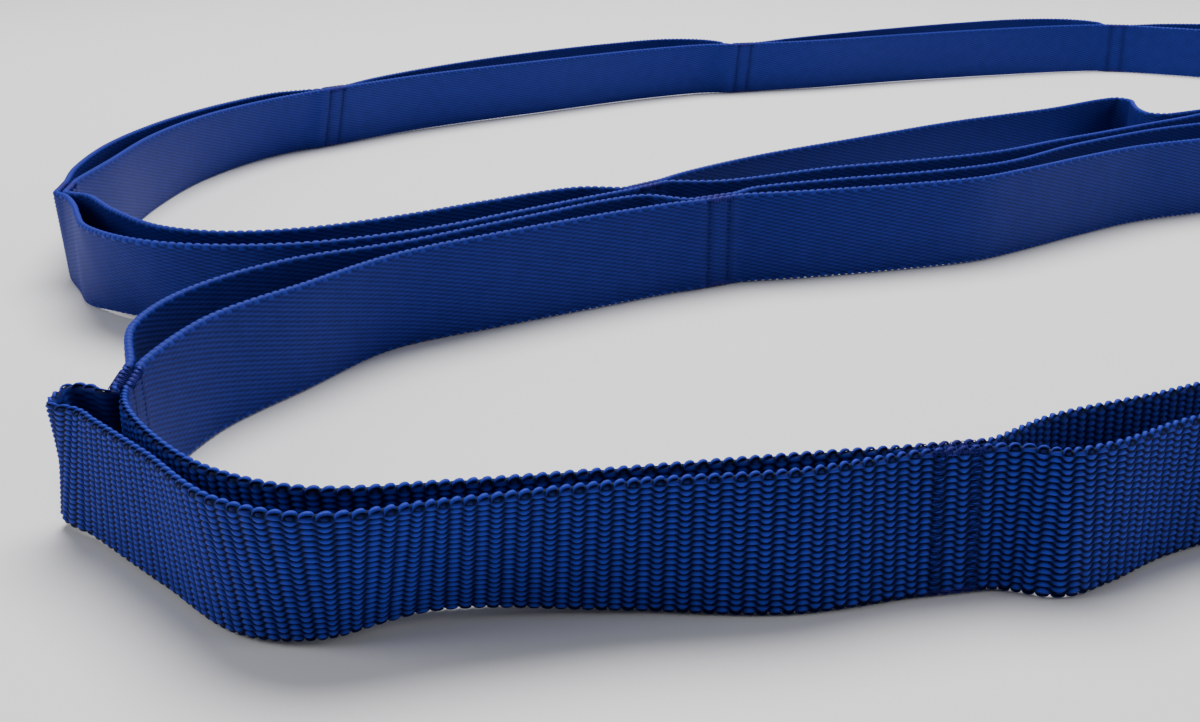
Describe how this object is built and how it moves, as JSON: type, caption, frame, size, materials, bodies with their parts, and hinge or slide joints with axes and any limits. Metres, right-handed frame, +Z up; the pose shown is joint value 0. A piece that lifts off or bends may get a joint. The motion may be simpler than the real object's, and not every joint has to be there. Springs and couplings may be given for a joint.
{
  "type": "multi-loop mobility strap",
  "caption": "Stretching and mobility strap: two strips of flat woven webbing sewn together at intervals into a chain of hand loops, standing on edge in winding runs.",
  "frame": {"origin": "middle of the strap's box, on the surface that it stands on", "axes": "+Z up, across the webbing's width; +Y away from the viewer, along the longer side of the layout; +X to the viewer's right"},
  "size_m": [0.6274, 0.6632, 0.0262],
  "materials": {
    "webbing": "flat woven nylon webbing, royal blue, slightly shiny",
    "thread": "bonded sewing thread, dark navy to purple, matte"
  },
  "bodies": {
    "loop_01": {"loop_01_strip_1": "webbing", "loop_01_strip_2": "webbing", "loop_01_folded_end": "webbing", "loop_01_last_thread_row": "thread"},
    "loop_02": {"loop_02_strip_1": "webbing", "loop_02_strip_2": "webbing", "loop_02_first_thread_row": "thread", "loop_02_last_thread_row": "thread"},
    "loop_03": {"loop_03_strip_1": "webbing", "loop_03_strip_2": "webbing", "loop_03_first_thread_row": "thread", "loop_03_last_thread_row": "thread"},
    "loop_04": {"loop_04_strip_1": "webbing", "loop_04_strip_2": "webbing", "loop_04_first_thread_row": "thread", "loop_04_last_thread_row": "thread"},
    "loop_05": {"loop_05_strip_1": "webbing", "loop_05_strip_2": "webbing", "loop_05_first_thread_row": "thread", "loop_05_last_thread_row": "thread"},
    "loop_06": {"loop_06_strip_1": "webbing", "loop_06_strip_2": "webbing", "loop_06_first_thread_row": "thread", "loop_06_last_thread_row": "thread"},
    "loop_07": {"loop_07_strip_1": "webbing", "loop_07_strip_2": "webbing", "loop_07_first_thread_row": "thread", "loop_07_last_thread_row": "thread"},
    "loop_08": {"loop_08_strip_1": "webbing", "loop_08_strip_2": "webbing", "loop_08_first_thread_row": "thread", "loop_08_last_thread_row": "thread"},
    "loop_09": {"loop_09_strip_1": "webbing", "loop_09_strip_2": "webbing", "loop_09_first_thread_row": "thread", "loop_09_last_thread_row": "thread"},
    "loop_10": {"loop_10_strip_1": "webbing", "loop_10_strip_2": "webbing", "loop_10_first_thread_row": "thread", "loop_10_last_thread_row": "thread"}
  },
  "joints": [
    {"name": "seam_1", "type": "hinge", "parent": "loop_02", "child": "loop_01", "pos_m": [-0.0949, -0.30874, 0], "axis": [0, 0, 1], "range_deg": [-40, 20]},
    {"name": "seam_2", "type": "hinge", "parent": "loop_03", "child": "loop_02", "pos_m": [-0.2379, -0.27374, 0], "axis": [0, 0, 1], "range_deg": [-30, 8]},
    {"name": "seam_3", "type": "hinge", "parent": "loop_04", "child": "loop_03", "pos_m": [-0.1199, -0.12774, 0], "axis": [0, 0, 1], "range_deg": [0, 12]},
    {"name": "seam_4", "type": "hinge", "parent": "loop_05", "child": "loop_04", "pos_m": [0.0841, 0.00626, 0], "axis": [0, 0, 1], "range_deg": [0, 15]},
    {"name": "seam_5", "type": "hinge", "parent": "loop_05", "child": "loop_06", "pos_m": [-0.1389, -0.11174, 0], "axis": [0, 0, 1], "range_deg": [-14, 0]},
    {"name": "seam_6", "type": "hinge", "parent": "loop_06", "child": "loop_07", "pos_m": [-0.3029, -0.11374, 0], "axis": [0, 0, 1], "range_deg": [-10, 20]},
    {"name": "seam_7", "type": "hinge", "parent": "loop_07", "child": "loop_08", "pos_m": [-0.2619, 0.07926, 0], "axis": [0, 0, 1], "range_deg": [-20, 20]},
    {"name": "seam_8", "type": "hinge", "parent": "loop_08", "child": "loop_09", "pos_m": [-0.0809, 0.22326, 0], "axis": [0, 0, 1], "range_deg": [-20, 25]},
    {"name": "seam_9", "type": "hinge", "parent": "loop_09", "child": "loop_10", "pos_m": [0.1321, 0.29926, 0], "axis": [0, 0, 1], "range_deg": [-40, 40]}
  ]
}
